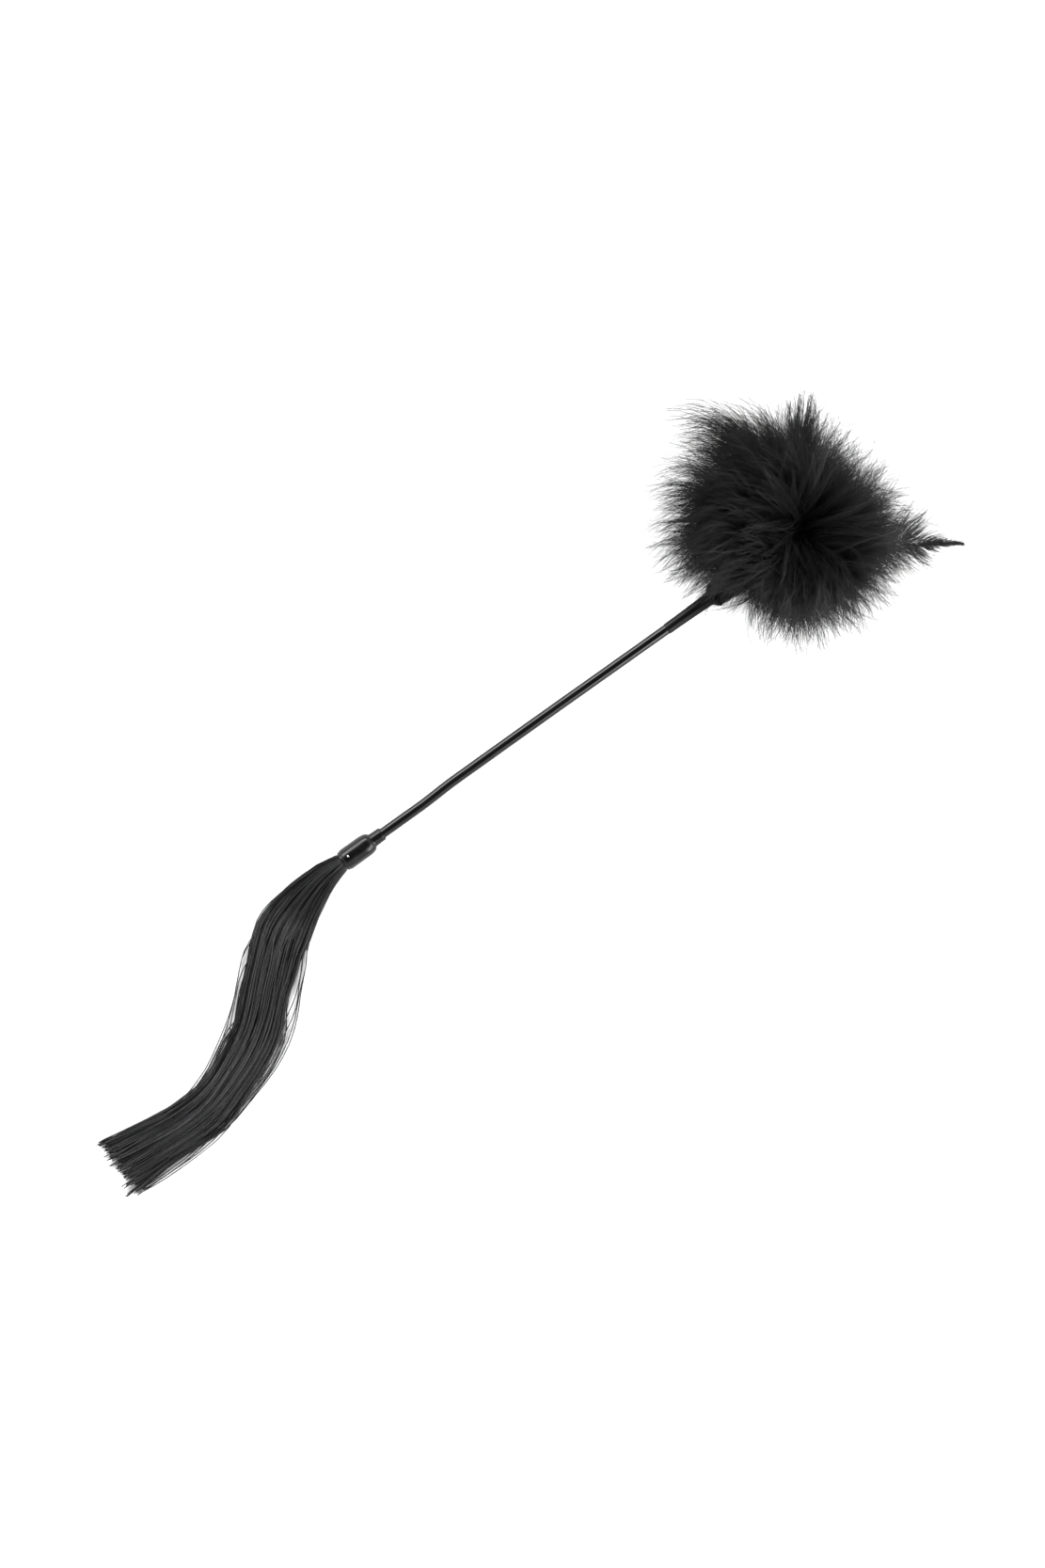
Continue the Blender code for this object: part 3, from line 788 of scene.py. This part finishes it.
plumes = {
    "front_feather": {"angles": (60, 120, 240, 300)},
    "tip_feather": {"angles": (180,)},
    "tuft_feather": {"angles": (0,)},
    "middle_feather": {"angles": (30, 90, 150, 210, 270, 330)},
    "back_feather": {"angles": (0, 60, 120, 180, 240, 300)},
    "drooping_feather": {"angles": (30, 90, 150, 210, 270, 330)},
}
puffCentre = Vector((mouth.x, mouth.y, 0)) + Vector(puff["centre"])
partingWay = Vector(puff["parting"]).normalized()


def abovePlate(point):
    # down that would reach under the table is pressed flat on it
    soft = puff["floorSoftness"]
    if point.z < soft:
        point.z = soft * math.exp((point.z - soft) / soft) + 0.3 * mm
    return point


def envelope(way):
    # distance from the puff's centre to where its down thins out, for a heading
    flat = math.hypot(way.x, way.y)
    return 1 / math.sqrt((flat / puff["radius"]) ** 2 + (way.z / puff["height"]) ** 2)


def sumOver(table, way):
    # the table's values for a heading, fading above and below the puff's waist
    heading = math.degrees(math.atan2(way.y, way.x))
    level = min(1.0, 1.5 * (1 - abs(way.z)))
    values = [0.0] * (len(table[0]) - 2)
    for middle, width, *heights in table:
        apart = (heading - middle + 180) % 360 - 180
        share = level * math.exp(-(apart / width) ** 2)
        values = [value + height * share for value, height in zip(values, heights)]
    return values


def sweepField(way):
    # neighbouring barbs bend alike, as a plume's do
    x, y, z = way * 3.1
    return Vector((
        math.sin(1.3 * y + 0.7 * z + 0.4) + 0.5 * math.sin(2.9 * z + 1.1 * x),
        math.sin(1.1 * z - 0.9 * x + 2.1) + 0.5 * math.sin(2.3 * x + 1.7 * y + 1.0),
        0.6 * math.sin(1.2 * x + 0.8 * y + 4.0),
    ))


def bezier(a, b, c, d, part):
    rest = 1 - part
    return a * rest ** 3 + b * 3 * part * rest ** 2 + c * 3 * part ** 2 * rest + d * part ** 3


def spray(rng, size):
    return Vector((rng.gauss(0, size), rng.gauss(0, size), rng.gauss(0, size)))


def openParting(way):
    # headings near the whorl are laid over, away from it
    apart = way.angle(partingWay)
    width = math.radians(puff["partingWidth"])
    if apart < width:
        axis = partingWay.cross(way).normalized()
        wanted = width * (0.55 + 0.45 * apart / width)
        way = Matrix.Rotation(wanted - apart, 3, axis) @ way
    if way.z < -0.35:  # and the ones below are turned out along the table
        way.z = -0.35 + (way.z + 0.35) * 0.35
    return way.normalized()


def makePlumes(rng):
    # each plume: its node, its heading from the puff's centre, and its shaft
    found = []
    for kind, setting in plumes.items():
        for number, degrees in enumerate(setting["angles"], start=1):
            node = kind if len(setting["angles"]) == 1 else f"{kind}_{number}"
            low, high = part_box(node)
            heading = ((low + high) / 2 - puffCentre).normalized()
            around = math.radians(degrees)
            outward = Vector((0, math.cos(around), math.sin(around))) * puff["quillRadius"]
            start = handleFrame @ (Vector((hoodEnd - 8 * mm, 0, 0)) + outward)
            leave = handleFrame @ (Vector((handleLength + 6 * mm, 0, 0)) + outward * 1.2)
            tip = puffCentre + heading * puff["radius"] * puff["shaftReach"]
            if heading.x < -0.3:  # back feathers turn over sooner
                leave = handleFrame @ (Vector((hoodEnd + 9 * mm, 0, 0)) + outward * 1.8)
            bend = leave.lerp(tip, 0.45)
            shaft = [bezier(start, leave, bend, tip, step / 20) for step in range(21)]
            found.append({"node": node, "heading": heading, "shaft": shaft, "clumps": []})
    return found


def onShaft(shaft, share):
    place = min(max(share, 0.0), 0.999) * (len(shaft) - 1)
    index = int(place)
    here = shaft[index].lerp(shaft[index + 1], place - index)
    return here, (shaft[index + 1] - shaft[index]).normalized()


def shareClumps(found, rng):
    # headings spread evenly over the ball, each given to a plume that points about that way
    golden = math.pi * (3 - math.sqrt(5))
    for index in range(puff["clumps"]):
        z = 1 - 2 * (index + 0.5) / puff["clumps"]
        flat = math.sqrt(1 - z * z)
        way = Vector((flat * math.cos(index * golden), flat * math.sin(index * golden), z))
        if way.z < -0.6 and rng.random() < 0.5:
            continue
        free = [plume for plume in found if len(plume["clumps"]) < puff["clumpsInPlume"]]
        owner = min(free, key=lambda plume: plume["heading"].angle(way) * rng.uniform(0.7, 1.3))
        apart = owner["heading"].angle(way)
        owner["clumps"].append((openParting(way + spray(rng, 0.03)), apart))


def clumpPaths(plume, way, apart, rng):
    share = max(0.28, min(1.0, 1.02 - 0.62 * apart / 0.8 + rng.gauss(0, 0.12)))
    root, along = onShaft(plume["shaft"], share)
    tail = min(-math.log(1 - rng.random()) * puff["thinning"], puff["longest"])
    further, = sumOver(outline, way)
    extra, swept = sumOver(wisps, way)
    wispy = rng.random() ** 2
    reach = (puff["denseTo"] + tail) * (1 + further) + extra * wispy
    tip = puffCentre + way * envelope(way) * reach
    tip += spray(rng, 2.5 * mm)
    tip.z = min(tip.z, puff["top"] - rng.random() * 6 * mm)
    tip.y = min(tip.y, puff["side"] - rng.random() * 8 * mm)
    length = (tip - root).length
    bend = sweepField(way) * puff["sweep"] + spray(rng, puff["stray"])
    bend += Vector((-way.y, way.x, 0)) * swept * (0.4 + wispy)
    bend -= way * bend.dot(way)
    # down on the top rises from the whorl and lies over, away from it
    over = max(0.0, way.dot(partingWay))
    laid = (way * way.dot(partingWay) - partingWay).normalized()
    rise = along * 0.35 + way * 0.8 + partingWay * 0.75 * over - bend * 0.8
    fall = way * (1 - 0.62 * over) + laid * 1.0 * over + bend * 1.3 + Vector((0, 0, -0.08))
    first = root + rise.normalized() * length * 0.40
    second = tip - fall.normalized() * length * 0.42
    loose = rng.random() ** 2
    paths = []
    for _ in range(puff["barbsInClump"]):
        start, _ = onShaft(plume["shaft"], share + rng.uniform(-0.07, 0.07))
        shorter = 1 - 0.32 * rng.random() ** 1.3
        end = root + (tip - root) * shorter + spray(rng, (0.35 + 2.0 * loose) * mm)
        near = first + spray(rng, 1.8 * mm)
        far = second.lerp(near, 1 - shorter) + spray(rng, (0.5 + 1.0 * loose) * mm)
        wave = spray(rng, 0.5 * mm)
        turn = rng.uniform(4, 8)
        path = []
        for step in range(puff["points"]):
            part = step / (puff["points"] - 1)
            point = bezier(start, near, far, end, part) + wave * math.sin(part * turn)
            path.append(abovePlate(point))
        paths.append(path)
    return paths


def tuftPaths(rng):
    # the end of the feather that stands out of the top of the outline
    heading = math.radians(tuft["heading"])
    way = Vector((math.cos(heading), math.sin(heading), 0.12)).normalized()
    paths = []
    for _ in range(tuft["clumps"]):
        apart = rng.gauss(0, tuft["spread"])
        across = Vector((-way.y, way.x, 0)) * apart
        towards = (way + across + Vector((0, 0, rng.gauss(0, 0.10)))).normalized()
        reach = tuft["reach"] * (1 - 0.9 * abs(apart)) - rng.random() ** 1.2 * 26 * mm
        tip = puffCentre + towards * reach
        root = puffCentre + way * 22 * mm + spray(rng, 3 * mm)
        bow = Vector((-way.y, way.x, 0)) * (apart * 10 + rng.gauss(0, 1.2)) * mm
        for _ in range(tuft["barbsInClump"]):
            start = root + spray(rng, 1.2 * mm)
            end = tip - towards * rng.random() * 7 * mm + spray(rng, 0.6 * mm)
            near = start.lerp(end, 0.35) + bow + spray(rng, 0.8 * mm)
            far = start.lerp(end, 0.7) + bow * 1.3 + spray(rng, 0.6 * mm)
            steps = range(puff["points"])
            path = [bezier(start, near, far, end, step / steps[-1]) for step in steps]
            paths.append([abovePlate(point) for point in path])
    return paths


def spearPaths(plume, rng):
    # the long feather that points out of the puff: barbs slant forward, and its end is nearly bare
    paths = []
    shaft = plume["shaft"]
    for number in range(spear["clumps"]):
        share = 0.44 + 0.545 * rng.random() ** 0.8
        root, along = onShaft(shaft, share)
        side = Vector((-along.y, along.x, 0)).normalized() * (1 if number % 2 else -1)
        bare = ease((share - spear["bareFrom"]) / (0.93 - spear["bareFrom"]))
        slant = math.radians(rng.gauss(50, 9) * (1 - bare) + rng.gauss(11, 4) * bare)
        reach = (spear["barb"] * (1 - bare) + spear["tipBarb"] * bare) * rng.uniform(0.4, 1.1)
        reach *= (1.0 if number % 2 else 0.85) * (1 - 0.45 * ease((share - 0.90) / 0.1))
        over = Vector((0, 0, rng.gauss(0, 0.5 - 0.3 * bare)))
        way = (along * math.cos(slant) + (side + over).normalized() * math.sin(slant)).normalized()
        tip = root + way * reach
        curl = (along * rng.uniform(-0.5, 0.9) + side * rng.uniform(-0.4, 0.4)) * reach * 0.45
        for _ in range(spear["barbsInClump"]):
            start, _ = onShaft(shaft, share + rng.uniform(-0.016, 0.016))
            end = tip + spray(rng, 0.5 * mm) + (root - tip) * rng.random() * 0.25
            path = []
            for step in range(puff["points"]):
                part = step / (puff["points"] - 1)
                path.append(abovePlate(start.lerp(end, part) + curl * (part * part - part)))
            paths.append(path)
    return paths


def makeBarbSection():
    # a three-cornered section that every barb is drawn out with
    bpy.ops.object.select_all(action='DESELECT')
    bpy.ops.curve.primitive_bezier_circle_add(location=(0, 0, 0))
    section = bpy.context.object
    section.name = "barbSection"
    section.data.splines.clear()
    spline = section.data.splines.new('POLY')
    spline.points.add(2)
    for corner, point in enumerate(spline.points):
        turn = math.tau * corner / 3
        point.co = (math.cos(turn), math.sin(turn), 0, 1)
    spline.use_cyclic_u = True
    return section


def barbRadii():
    radii = []
    for step in range(puff["points"]):
        part = step / (puff["points"] - 1)
        swell = (puff["middleThickness"] - puff["rootThickness"]) * math.sin(math.pi * part ** 0.8)
        full = puff["rootThickness"] + swell
        radii.append((full * (1 - part ** 2) + puff["tipThickness"] * part ** 2) / 2)
    return radii


def drawMap(mesh, counts):
    # a strip of the map for each barb, and what its material reads: the place along its barb, the barb's
    # tone, and the painted shade of the whorl and of one side there
    sides = 3
    splines = len(counts)
    capPoints = 2 * sides * splines
    firstPoint = np.concatenate(([0], np.cumsum(np.array(counts) * sides)))[:-1] + capPoints
    owner = np.repeat(np.arange(splines), np.array(counts) * sides)
    owner = np.concatenate((np.repeat(np.arange(splines), 2 * sides), owner))
    index = np.arange(len(mesh.vertices))
    ring = (index - firstPoint[owner]) // sides
    along = ring / (np.array(counts)[owner] - 1)
    capEnd = (index[:capPoints] // sides) % 2 == 0  # the first cap of each pair closes the far end
    along[:capPoints] = np.where(capEnd, 1.0, 0.0)
    tones = np.random.default_rng(5).random(splines)
    places = np.empty(len(mesh.vertices) * 3, np.float32)
    mesh.vertices.foreach_get("co", places)
    places = places.reshape(-1, 3)
    # painted shade: near black around a point up the whorl, fading outward, darker towards one heading and
    # lighter away from it
    core = np.array(puffCentre + partingWay * puff["coreDepth"])
    fromCore = np.clip(np.linalg.norm(places - core, axis=1) / puff["coreReach"], 0, 1)
    darkHeading = math.radians(puff["paintedShadeHeading"])
    shade = np.array([math.cos(darkHeading), math.sin(darkHeading)])
    towardDark = (places[:, :2] - np.array(puffCentre)[:2]) @ shade / puff["radius"]
    depth = fromCore ** puff["coreFade"] * (1 - puff["paintedShadeStrength"] * np.clip(towardDark, -0.6, 1.0))
    for name, values in (("paintedShadeFactor", depth), ("alongBarb", along), ("barbTone", tones[owner])):
        mesh.attributes.new(name, 'FLOAT', 'POINT').data.foreach_set("value", values.astype(np.float32))
    corners = np.empty(len(mesh.loops), np.int32)
    mesh.loops.foreach_get("vertex_index", corners)
    starts = np.empty(len(mesh.polygons), np.int32)
    mesh.polygons.foreach_get("loop_start", starts)
    totals = np.empty(len(mesh.polygons), np.int32)
    mesh.polygons.foreach_get("loop_total", totals)
    face = np.repeat(np.arange(len(starts)), totals)
    corner = (corners - firstPoint[owner[corners]]) % sides
    isCap = corners < capPoints
    side = (face - 2 * splines) % sides
    around = np.where((side == 0) & (corner == 0), sides, corner) / sides
    across = np.where(isCap, (corners % sides) / sides, around)
    lengthwise = along[corners] * 0.88 + 0.06
    capCorner = (corners % sides == 1) * 0.03
    capPlace = np.where(along[corners] > 0.5, 0.965, 0.005) + capCorner
    lengthwise = np.where(isCap, capPlace, lengthwise)
    columns = 4
    rows = math.ceil(splines / columns)
    strip = owner[corners]
    u = (strip % columns + lengthwise) / columns
    v = (strip // columns + 0.08 + 0.84 * across) / rows
    while mesh.uv_layers:
        mesh.uv_layers.remove(mesh.uv_layers[0])
    flatMap = np.stack((u, v), 1).astype(np.float32).ravel()
    mesh.uv_layers.new(name="OFBake").data.foreach_set("uv", flatMap)


def addPlume(plume, section, rng):
    bpy.ops.object.select_all(action='DESELECT')
    bpy.ops.curve.primitive_bezier_curve_add(location=(0, 0, 0))
    piece = bpy.context.object
    piece.name = f"plume_{plume['node']}"
    curve = piece.data
    curve.splines.clear()
    curve.dimensions = '3D'
    curve.bevel_mode = 'OBJECT'
    curve.bevel_object = section
    curve.use_fill_caps = True
    spline = curve.splines.new('POLY')
    shaft = [abovePlate(point.copy()) for point in plume["shaft"]]
    spline.points.add(len(shaft) - 1)
    for index, (target, point) in enumerate(zip(spline.points, shaft)):
        target.co = (*point, 1)
        target.radius = plume.get("thickness", puff["shaftThickness"]) / 2 * (1 - 0.7 * index / len(shaft))
    paths = list(plume.get("extra", ()))
    for way, apart in plume["clumps"]:
        paths += clumpPaths(plume, way, apart, rng)
    radii = barbRadii()
    for path in paths:
        spline = curve.splines.new('POLY')
        spline.points.add(len(path) - 1)
        spline.points.foreach_set("co", [value for point in path for value in (*point, 1)])
        spline.points.foreach_set("radius", radii)
    selectOnly(piece)
    bpy.ops.object.convert(target='MESH')
    piece = bpy.context.object
    drawMap(piece.data, [len(shaft)] + [len(path) for path in paths])
    bpy.ops.object.mode_set(mode='EDIT')
    bpy.ops.mesh.select_all(action='SELECT')
    bpy.ops.mesh.remove_doubles(threshold=0.000001)
    bpy.ops.object.mode_set(mode='OBJECT')
    bpy.ops.object.shade_smooth()
    finishPiece(piece, marabouDown)
    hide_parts(plume["node"])


def addPlumes():
    rng = random.Random(21)
    found = makePlumes(rng)
    shareClumps([plume for plume in found if plume["node"] != "tip_feather"], rng)
    for plume in found:
        if plume["node"] == "tip_feather":
            start = plume["shaft"][0]
            leave = handleFrame @ Vector((handleLength + spear["leaves"], 0, spear["rises"]))
            marks = (spear["middle"], spear["tip"])
            middle, tip = (Vector((mouth.x + x, mouth.y + y, z)) for x, y, z in marks)
            bend = middle.lerp(leave, 0.35)
            plume["thickness"] = spear["thickness"]
            plume["shaft"] = [bezier(start, leave, bend, tip, step / 40) for step in range(41)]
            plume["extra"] = spearPaths(plume, rng)
        if plume["node"] == "tuft_feather":
            plume["extra"] = tuftPaths(rng)
    section = makeBarbSection()
    for plume in found:
        addPlume(plume, section, rng)
        print(plume["node"], len(plume["clumps"]), "clumps")
    selectOnly(section)
    bpy.ops.object.delete()


addPlumes()
print("plumes bound on")


studio = {
    "floorColour": "#f2f2f2",
    "boxes": (
        # name, heading round the object in degrees, degrees from straight up, distance, width, length, power
        ("softboxUpper", 100, 60, 1.5, 0.6, 1.9, 38),
        ("softboxLower", -66, 58, 1.5, 0.9, 1.5, 40),
    ),
    # the room seen from the object: height of the view, from level to straight up, and its brightness
    "room": (
        (0.0, 0.98), (0.12, 1.15), (0.35, 1.85), (0.60, 1.85), (0.80, 0.50), (0.93, 0.12), (1.0, 0.12),
    ),
}


def addStudio():
    bpy.ops.object.select_all(action='DESELECT')
    bpy.ops.mesh.primitive_plane_add(size=6, location=(0, 0, -0.0004))
    floor = bpy.context.object
    floor.name = "paleTable"
    made, _, _ = newMaterial("mattLacqueredBoard", Base_Color=fromHex(studio["floorColour"]), Roughness=0.7)
    floor.data.materials.append(made)
    world = bpy.data.worlds.new("paleStudio")
    world.use_nodes = True
    tree = world.node_tree
    view = addNode(tree, "ShaderNodeTexCoord")
    height = addNode(tree, "ShaderNodeSeparateXYZ", links={"Vector": view.outputs["Generated"]})
    room = addNode(tree, "ShaderNodeValToRGB", links={"Fac": height.outputs["Z"]})
    stops = room.color_ramp.elements
    while len(stops) < len(studio["room"]):
        stops.new(0.5)
    brightest = max(value for _, value in studio["room"])
    for stop, (level, value) in zip(stops, studio["room"]):
        stop.position = level
        stop.color = (value / brightest, value / brightest, value / brightest, 1)
    tree.links.new(room.outputs["Color"], tree.nodes["Background"].inputs["Color"])
    tree.nodes["Background"].inputs["Strength"].default_value = brightest
    bpy.context.scene.world = world
    bpy.context.scene.view_settings.view_transform = 'Standard'
    aim = Vector((0, 0, 0.02))
    for name, heading, fromTop, distance, width, length, power in studio["boxes"]:
        turn = math.radians(heading)
        tilt = math.radians(fromTop)
        way = Vector((math.cos(turn) * math.sin(tilt), math.sin(turn) * math.sin(tilt), math.cos(tilt)))
        bpy.ops.object.light_add(type='AREA', location=aim + way * distance)
        light = bpy.context.object
        light.name = name
        light.data.shape = 'RECTANGLE'
        light.data.size = length
        light.data.size_y = width
        light.data.energy = power
        light.rotation_euler = (-way).to_track_quat('-Z', 'Y').to_euler()


addStudio()
print("studio set")
